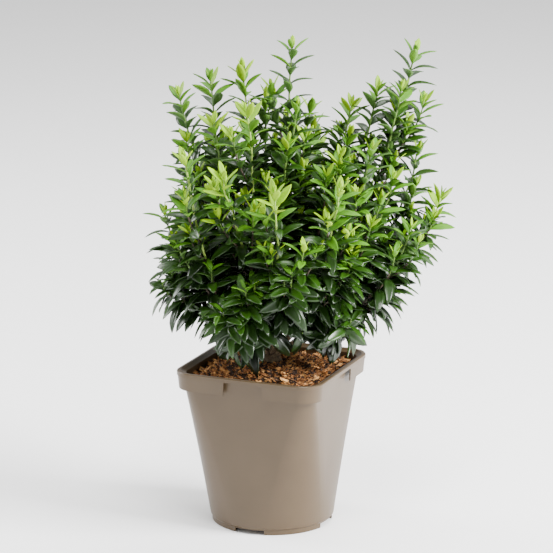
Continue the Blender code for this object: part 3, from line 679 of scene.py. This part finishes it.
leafRule = {"spacing": (0.0030, 0.0045, 0.0062, 0.0076, 0.0084, 0.0088), "late": 0.0092,
            "length": (0.0120, 0.0190, 0.0250, 0.0280, 0.0295, 0.0300), "old": 0.0305, "lowGain": 0.0050,
            "rise": (77, 58, 46, 40, 38, 37), "lateRise": 36, "lowRise": 6, "droop": 0.7,
            "lowBelow": 0.36, "lowSpan": 0.14, "firstBack": 0.0012, "step": 0.0005,
            "riseJitter": 9, "swayJitter": 14, "turnJitter": 8, "rollJitter": 13,
            "lengthRange": (0.88, 1.1), "spacingRange": (0.92, 1.1)}


def either(amount, chance):
    return chance.uniform(-amount, amount)


def fromList(values, index, last):
    return values[index] if index < len(values) else last


# Leaf pairs are set from the tip down. Each has its own values, until one serves for all the rest.
def leafPlaces(line, bare, bright, chance):
    step = leafRule["step"]
    nodes = sample(line, step)
    side = nodes[-1][1].orthogonal().normalized()
    side.rotate(Matrix.Rotation(chance.uniform(0, math.tau), 3, nodes[-1][1]))
    back = leafRule["firstBack"]
    index = 0
    made = []
    while back < (1.0 - bare) * len(nodes) * step:
        place, way = nodes[len(nodes) - 1 - int(back / step)]
        side = (side - way * side.dot(way)).normalized()
        lowness = max(0.0, min(1.0, (leafRule["lowBelow"] - place.z) / leafRule["lowSpan"]))
        length = fromList(leafRule["length"], index, leafRule["old"]) + leafRule["lowGain"] * lowness
        rise = fromList(leafRule["rise"], index, leafRule["lateRise"])
        rise += (leafRule["lowRise"] - rise) * lowness * leafRule["droop"]
        for hand in (1, -1):
            angle = math.radians(rise + either(leafRule["riseJitter"], chance))
            sway = Matrix.Rotation(math.radians(either(leafRule["swayJitter"], chance)), 3, way)
            direction = (sway @ side) * hand * math.cos(angle) + way * math.sin(angle)
            size = length * chance.uniform(*leafRule["lengthRange"])
            made.append((place, way, direction, size, index - bright))
        side.rotate(Matrix.Rotation(math.radians(90 + either(leafRule["turnJitter"], chance)), 3, way))
        spacing = fromList(leafRule["spacing"], index, leafRule["late"])
        back += spacing * chance.uniform(*leafRule["spacingRange"])
        index += 1
    return made


# A leaf's colour class goes by its place from the tip. Leaves low down are also counted older, so they take
# darker classes as painted shade.
shade = {"jitter": 0.8, "below": 0.34, "paintedShadePerClass": 0.02,
         "oldest": {"lime": 1.3, "fresh": 3.6, "mid": 8.0, "deep": 13.5}}


def leafClass(age, height, chance):
    # Painted shade: the further a leaf stands under the given height, the darker the class it takes
    age = age + either(shade["jitter"], chance) + max(0.0, (shade["below"] - height) / shade["paintedShadePerClass"])
    for kind, oldest in shade["oldest"].items():
        if age < oldest:
            return kind
    return "dark"


clearance = {"rimInset": 0.003, "overRim": 0.002, "overMix": 0.003}


def clearOfPot(point):
    outside = max(abs(point.x), abs(point.y)) > pot["mouthSide"] / 2 - clearance["rimInset"]
    rimLevel = pot["height"] + clearance["overRim"]
    return point.z > (rimLevel if outside else mixLevel(point.x, point.y) + clearance["overMix"])


chance = random.Random(plantSeed)
mainShoot = {"foot": 0.0017, "tip": 0.0009, "ownerStep": 0.004, "linesPerBough": 3,
             "brightness": (0, 0, 1, 2), "frontGain": 1}
feet = footBearings()
boughs = {name: boughLine(tier, shoots, feet[name]) for name, (tier, shoots) in crown.items()}
allLines = {name: shootLines(boughs[name], shoots) for name, (tier, shoots) in crown.items()}
owners = [(point, name) for name, lines in allLines.items() for line, bare in lines
          for point, way in sample(line, mainShoot["ownerStep"])]
nearest = KDTree(len(owners))
for index, (point, name) in enumerate(owners):
    nearest.insert(point, index)
nearest.balance()

# Each shoot has its line, the share bare of leaves, its foot's and tip's radius, and how bright it is.
# A side twig is kept where it ends nearest to its own mass.
shootsMade = []
for number, (name, lines) in enumerate(allLines.items()):
    for count, (line, bare) in enumerate(lines):
        line = waver(line, number * mainShoot["linesPerBough"] + count)
        bright = chance.choice(mainShoot["brightness"])
        bright += mainShoot["frontGain"] if name.startswith("front") else 0
        shootsMade.append((line, bare, mainShoot["foot"], mainShoot["tip"], bright))
        for side, sideBare in sideTwigs(line, chance):
            owner = owners[nearest.find(side[-1])[1]][1]
            if owner == name and side[-1].z > twig["lowest"]:
                shootsMade.append((side, sideBare, twig["foot"], twig["tip"], bright // 2))

# One more low twig with old leaves starts from the fork of each bough of the low tier
skirt = {"reach": 0.034, "reachRange": (0.7, 1.1), "rise": 0.004, "turn": -12, "endRise": 0.2,
         "points": 10, "bare": 0.1, "foot": 0.0012, "tip": 0.0007, "bright": -6}
for name, (tier, shoots) in crown.items():
    if tier == "low":
        line = boughs[name]
        aim = (line[-1] - line[-2]).normalized()
        bearing = meanTip(shoots)[0] + skirt["turn"]
        reach = line[-1].to_2d().length + skirt["reach"] * chance.uniform(*skirt["reachRange"])
        tip = around(bearing, reach, line[-1].z + skirt["rise"])
        low = reaching(line[-1], aim, tip, around(bearing, 1.0, skirt["endRise"]), skirt["points"])
        shootsMade.append((low, skirt["bare"], skirt["foot"], skirt["tip"], skirt["bright"]))
print(len(shootsMade), "shoots")


# Spindle leaf: a closed thin blade with a fold along its midrib, toothed edges and a bend down.
# half, rise and drop are shares of the leaf's length, and fold is the slope up from the midrib.

leafForms = {
    "lime": {"half": 0.165, "fold": 0.42, "rise": 0.02, "drop": 0.03, "variants": 3},
    "fresh": {"half": 0.165, "fold": 0.50, "rise": 0.08, "drop": 0.26, "variants": 4},
    "mid": {"half": 0.175, "fold": 0.50, "rise": 0.12, "drop": 0.42, "variants": 5},
    "deep": {"half": 0.185, "fold": 0.46, "rise": 0.12, "drop": 0.46, "variants": 5},
    "dark": {"half": 0.19, "fold": 0.40, "rise": 0.08, "drop": 0.46, "variants": 5},
}
# Waxed leaf skin: leathery old leaves catch the lamps in narrow streaks, and soft young ones are duller
# and brighter green. The underside has no wax, so it is paler and dull.
leafLook = {
    "lime": {"above": "#84B000", "beneath": "#86AC0C", "roughness": 0.5, "ior": 1.36},
    "fresh": {"above": "#477A08", "beneath": "#568418", "roughness": 0.5, "ior": 1.36},
    "mid": {"above": "#24440A", "beneath": "#3E6020", "roughness": 0.30, "ior": 1.46},
    "deep": {"above": "#182F09", "beneath": "#2E4A1C", "roughness": 0.30, "ior": 1.46},
    "dark": {"above": "#0F1F08", "beneath": "#20341A", "roughness": 0.30, "ior": 1.46},
}
beneathLook = {"roughness": 0.62, "ior": 1.40}
blade = {"stalk": 0.05, "stalkWidth": 0.12, "fullness": 0.85, "belly": 0.9, "dropRange": (0.6, 1.35),
         "bend": 0.07, "foreshorten": 0.12, "toothOut": 0.05, "toothIn": 0.03, "hollow": 0.25,
         "thickness": 0.026}
# Where the blade's cross sections are along it, and their corners across it, above and beneath
stations = (0.0, 0.09, 0.2, 0.36, 0.54, 0.72, 0.88)
acrossTop = (-1.0, -0.5, 0.0, 0.5, 1.0)
acrossUnder = (0.5, 0.0, -0.5)


def leafWidth(t):
    share = max(0.0, (t - blade["stalk"]) / (1 - blade["stalk"]))
    swell = math.sin(math.pi * share ** blade["belly"]) ** blade["fullness"]
    return blade["stalkWidth"] + (1 - blade["stalkWidth"]) * swell


def leafShape(name, form, seed):
    chance = random.Random(seed)
    drop = form["drop"] * chance.uniform(*blade["dropRange"])
    bend = either(blade["bend"], chance)
    corners, faces, under = [], [], []
    for number, t in enumerate(stations):
        width = form["half"] * leafWidth(t)
        ahead = t * (1 - blade["foreshorten"] * drop)
        middle = Vector((ahead, bend * t * t, form["rise"] * t - drop * t * t))
        tooth = 1.0 + (blade["toothOut"] if number % 2 else -blade["toothIn"])
        for across in acrossTop:
            wide = tooth if abs(across) == 1 else 1.0
            lift = form["fold"] * width * abs(across) - blade["hollow"] * width * across * across
            corners.append(middle + Vector((0, across * width * wide, lift)))
        for across in acrossUnder:
            lift = form["fold"] * width * abs(across) - blade["hollow"] * width * across * across
            corners.append(middle + Vector((0, across * width, lift - blade["thickness"])))
    ring = len(acrossTop) + len(acrossUnder)
    corners.append(Vector((1 - blade["foreshorten"] * drop, bend, form["rise"] - drop)))
    tip = len(corners) - 1
    faces.append(tuple(range(ring)))
    under.append(False)
    for number in range(len(stations)):
        for index in range(ring):
            after = (index + 1) % ring
            low, high = number * ring, (number + 1) * ring
            if number == len(stations) - 1:
                faces.append((low + after, low + index, tip))
            else:
                faces.append((low + after, low + index, high + index, high + after))
            under.append(index >= len(acrossTop) - 1)
    mesh = meshOf(name, corners, faces)
    flag = mesh.attributes.new("under", "BOOLEAN", "FACE")
    flag.data.foreach_set("value", under)
    return bpy.data.objects.new(name, mesh)


# The tree sets one leaf shape after another on the points, which say each leaf's turn and size
def leafTree(name):
    tree = bpy.data.node_groups.new(name, "GeometryNodeTree")
    tree.interface.new_socket("Geometry", in_out="INPUT", socket_type="NodeSocketGeometry")
    tree.interface.new_socket("Shapes", in_out="INPUT", socket_type="NodeSocketCollection")
    for label in ("Above", "Beneath"):
        tree.interface.new_socket(label, in_out="INPUT", socket_type="NodeSocketMaterial")
    tree.interface.new_socket("Geometry", in_out="OUTPUT", socket_type="NodeSocketGeometry")
    given = addNode(tree, "NodeGroupInput").outputs
    shapes = addNode(tree, "GeometryNodeCollectionInfo",
                     {"Separate Children": True, "Reset Children": True},
                     {"Collection": given["Shapes"]})
    turned = addNode(tree, "GeometryNodeInputNamedAttribute", {"data_type": "FLOAT_VECTOR", "Name": "turn"})
    euler = addNode(tree, "FunctionNodeEulerToRotation", links={0: turned.outputs[0]})
    sized = addNode(tree, "GeometryNodeInputNamedAttribute", {"data_type": "FLOAT_VECTOR", "Name": "size"})
    grown = addNode(tree, "GeometryNodeInstanceOnPoints", {"Pick Instance": True},
                    {"Points": given["Geometry"], "Instance": shapes.outputs[0],
                     "Rotation": euler.outputs[0], "Scale": sized.outputs[0]})
    real = addNode(tree, "GeometryNodeRealizeInstances", links={"Geometry": grown.outputs[0]})
    above = addNode(tree, "GeometryNodeSetMaterial",
                    links={"Geometry": real.outputs[0], "Material": given["Above"]})
    below = addNode(tree, "GeometryNodeInputNamedAttribute", {"data_type": "BOOLEAN", "Name": "under"})
    beneath = addNode(tree, "GeometryNodeSetMaterial",
                      links={"Geometry": above.outputs[0], "Selection": below.outputs[0],
                             "Material": given["Beneath"]})
    addNode(tree, "NodeGroupOutput", links={"Geometry": beneath.outputs[0]})
    return tree


def leafTurn(direction, way, chance):
    ahead = direction.normalized()
    across = way.cross(ahead).normalized()
    frameOf = Matrix((ahead, across, ahead.cross(across))).transposed()
    roll = Matrix.Rotation(math.radians(chance.gauss(0, leafRule["rollJitter"])), 3, "X")
    return (frameOf @ roll).to_euler()


leaves = {kind: [] for kind in leafForms}
for line, bare, foot, tip, bright in shootsMade:
    for place, way, direction, length, age in leafPlaces(line, bare, bright, chance):
        end = place + direction.normalized() * length
        if clearOfPot(end) and clearOfPot(place):
            kind = leafClass(age, place.z, chance)
            leaves[kind].append((place, leafTurn(direction, way, chance), length))

growLeaves = leafTree("grow_leaves")
perPiece = 1500  # keeps a piece under 200,000 triangles
seedsPerKind = 100
for number, (kind, spots) in enumerate(leaves.items()):
    look = leafLook[kind]
    top = newFinish(f"leaf_{kind}_above", {**look, "colours": [look["above"]]})
    low = newFinish(f"leaf_{kind}_beneath", {**beneathLook, "colours": [look["beneath"]]})
    shapes = [leafShape(f"{kind}_leaf_{index}", leafForms[kind], seedsPerKind * number + index)
              for index in range(leafForms[kind]["variants"])]
    group = shapeCollection(kind + "_shapes", shapes)
    for part in range(math.ceil(len(spots) / perPiece)):
        chosen = spots[part * perPiece:(part + 1) * perPiece]
        seeds = bpy.data.meshes.new("seeds")
        seeds.from_pydata([tuple(place) for place, euler, length in chosen], [], [])
        turns = seeds.attributes.new("turn", "FLOAT_VECTOR", "POINT")
        turns.data.foreach_set("vector", [angle for place, euler, length in chosen for angle in euler])
        sizes = seeds.attributes.new("size", "FLOAT_VECTOR", "POINT")
        sizes.data.foreach_set("vector", [length for place, euler, length in chosen for axis in range(3)])
        piece = addObject(f"leaves_{kind}_{part + 1}", seeds)
        runTree(piece, growLeaves, {"Shapes": group, "Above": top, "Beneath": low})
        dress(piece, foliageNodes)
        print(piece.name, len(chosen), "leaves,", len(piece.data.polygons), "faces")


# Stems: ridged bark on the main stem and boughs, brown twigs above, and green ones at the tips

bark = {"ridgeTurns": 2.2, "ridgeRise": 90, "flareSteps": 5, "stumpSides": 28, "stumpRelief": 0.10,
        "stumpSeed": 5.0, "boughSides": 12, "boughRelief": 0.16, "boughSeed": 3.1, "sunk": 0.004,
        "footSwell": 1.1, "twigSides": 7, "oldRelief": 0.06, "youngRelief": 0.04, "twigSeed": 1.7,
        "oldShare": 0.6, "brightOldShare": 0.45, "brightFrom": 2}


# A closed tube whose radius has ridges that run along it
def tube(points, radii, sides, relief, seed):
    corners, faces = [], []
    normal = (points[1] - points[0]).orthogonal().normalized()
    for index, (point, radius) in enumerate(zip(points, radii)):
        ahead = points[min(index + 1, len(points) - 1)] - points[max(index - 1, 0)]
        ahead.normalize()
        normal = (normal - ahead * normal.dot(ahead)).normalized()
        across = ahead.cross(normal)
        for side in range(sides):
            angle = side / sides * math.tau
            out = normal * math.cos(angle) + across * math.sin(angle)
            east, north = math.cos(angle) * bark["ridgeTurns"], math.sin(angle) * bark["ridgeTurns"]
            ridge = noise.noise(Vector((east, north, point.z * bark["ridgeRise"] + seed)))
            corners.append(point + out * radius * (1 + relief * ridge))
    for row in range(len(points) - 1):
        for side in range(sides):
            after = (side + 1) % sides
            low, high = row * sides, (row + 1) * sides
            faces.append((low + side, low + after, high + after, high + side))
    faces.append(tuple(range(sides))[::-1])
    faces.append(tuple(range((len(points) - 1) * sides, len(points) * sides)))
    return corners, faces


# Many tubes as one mesh, each with the finish of its kind
def joined(name, shapes, finishes, kinds):
    corners, faces, slots = [], [], []
    for number, (points, skins) in enumerate(shapes):
        start = len(corners)
        corners += points
        faces += [tuple(start + corner for corner in skin) for skin in skins]
        slots += [kinds[number]] * len(skins)
    mesh = meshOf(name, corners, faces)
    piece = addObject(name, mesh, finishes)
    mesh.polygons.foreach_set("material_index", slots)
    return piece


def evenRadii(foot, tip, count):
    return [foot + (tip - foot) * index / (count - 1) for index in range(count)]


def stumpShape():
    base = mix["topLevel"] + stem["gap"]
    count = bark["flareSteps"]
    heights, radii = [], []
    for (low, wide), (high, narrow) in zip(stemProfile, stemProfile[1:]):
        for step in range(count):
            heights.append(low + (high - low) * step / count)
            radii.append(wide + (narrow - wide) * step / count)
    heights.append(stemProfile[-1][0])
    radii.append(stemProfile[-1][1])
    points = [Vector((0, 0, base + height)) for height in heights]
    return tube(points, radii, bark["stumpSides"], bark["stumpRelief"], bark["stumpSeed"])


# Old spindle bark, corky and weathered: grey-brown in patches, rough, with no shine
barkFinish = newFinish("spindle_bark", {
    "colours": ["#4A3D2E", "#6B5B45", "#8A7A5F"], "mottle": 0.004, "roughness": 0.85, "ior": 1.45,
    "grain": 0.0012, "bump": 0.8, "depth": 0.0006})
# Thin bark on last year's twigs: brown and nearly smooth, with a dull shine
oldTwig = newFinish("brown_twig_bark", {
    "colours": ["#3A2E26", "#57493A"], "mottle": 0.006, "roughness": 0.6, "ior": 1.45,
    "grain": 0.001, "bump": 0.4, "depth": 0.0003})
# Green skin of this year's twigs: faintly ribbed, with a soft shine
greenTwig = newFinish("green_twig_bark", {
    "colours": ["#4F6B2C", "#6B8A3A"], "mottle": 0.008, "roughness": 0.5, "ior": 1.45,
    "grain": 0.001, "bump": 0.3, "depth": 0.0002})
# Skin of the newest growth: pale yellow-green, smooth and a little waxy
brightTwig = newFinish("young_twig_bark", {
    "colours": ["#8FAE4A", "#A8C45E"], "mottle": 0.008, "roughness": 0.45, "ior": 1.45,
    "grain": 0.001, "bump": 0.3, "depth": 0.0002})

woody = [stumpShape()]
for number, (name, line) in enumerate(boughs.items()):
    inward = (line[0] - line[1]).normalized() * bark["sunk"]
    points = [line[0] + inward] + line
    radii = evenRadii(stem["boughFoot"] * bark["footSwell"], stem["boughTip"], len(points))
    woody.append(tube(points, radii, bark["boughSides"], bark["boughRelief"], number * bark["boughSeed"]))
stemPiece = joined("woody_stems", woody, [barkFinish], [0] * len(woody))
dress(stemPiece, stemNodes)

sticks, kinds = [], []
for number, (line, bare, foot, tip, bright) in enumerate(shootsMade):
    isBright = bright >= bark["brightFrom"]
    cut = max(2, int(len(line) * (bark["brightOldShare"] if isBright else bark["oldShare"])))
    radii = evenRadii(foot, tip, len(line))
    seed = number * bark["twigSeed"]
    sticks.append(tube(line[:cut + 1], radii[:cut + 1], bark["twigSides"], bark["oldRelief"], seed))
    sticks.append(tube(line[cut:], radii[cut:], bark["twigSides"], bark["youngRelief"], seed))
    kinds += [0, 2 if isBright else 1]
twigPiece = joined("foliage_twigs", sticks, [oldTwig, greenTwig, brightTwig], kinds)
dress(twigPiece, foliageNodes)
print("stems and twigs are made")
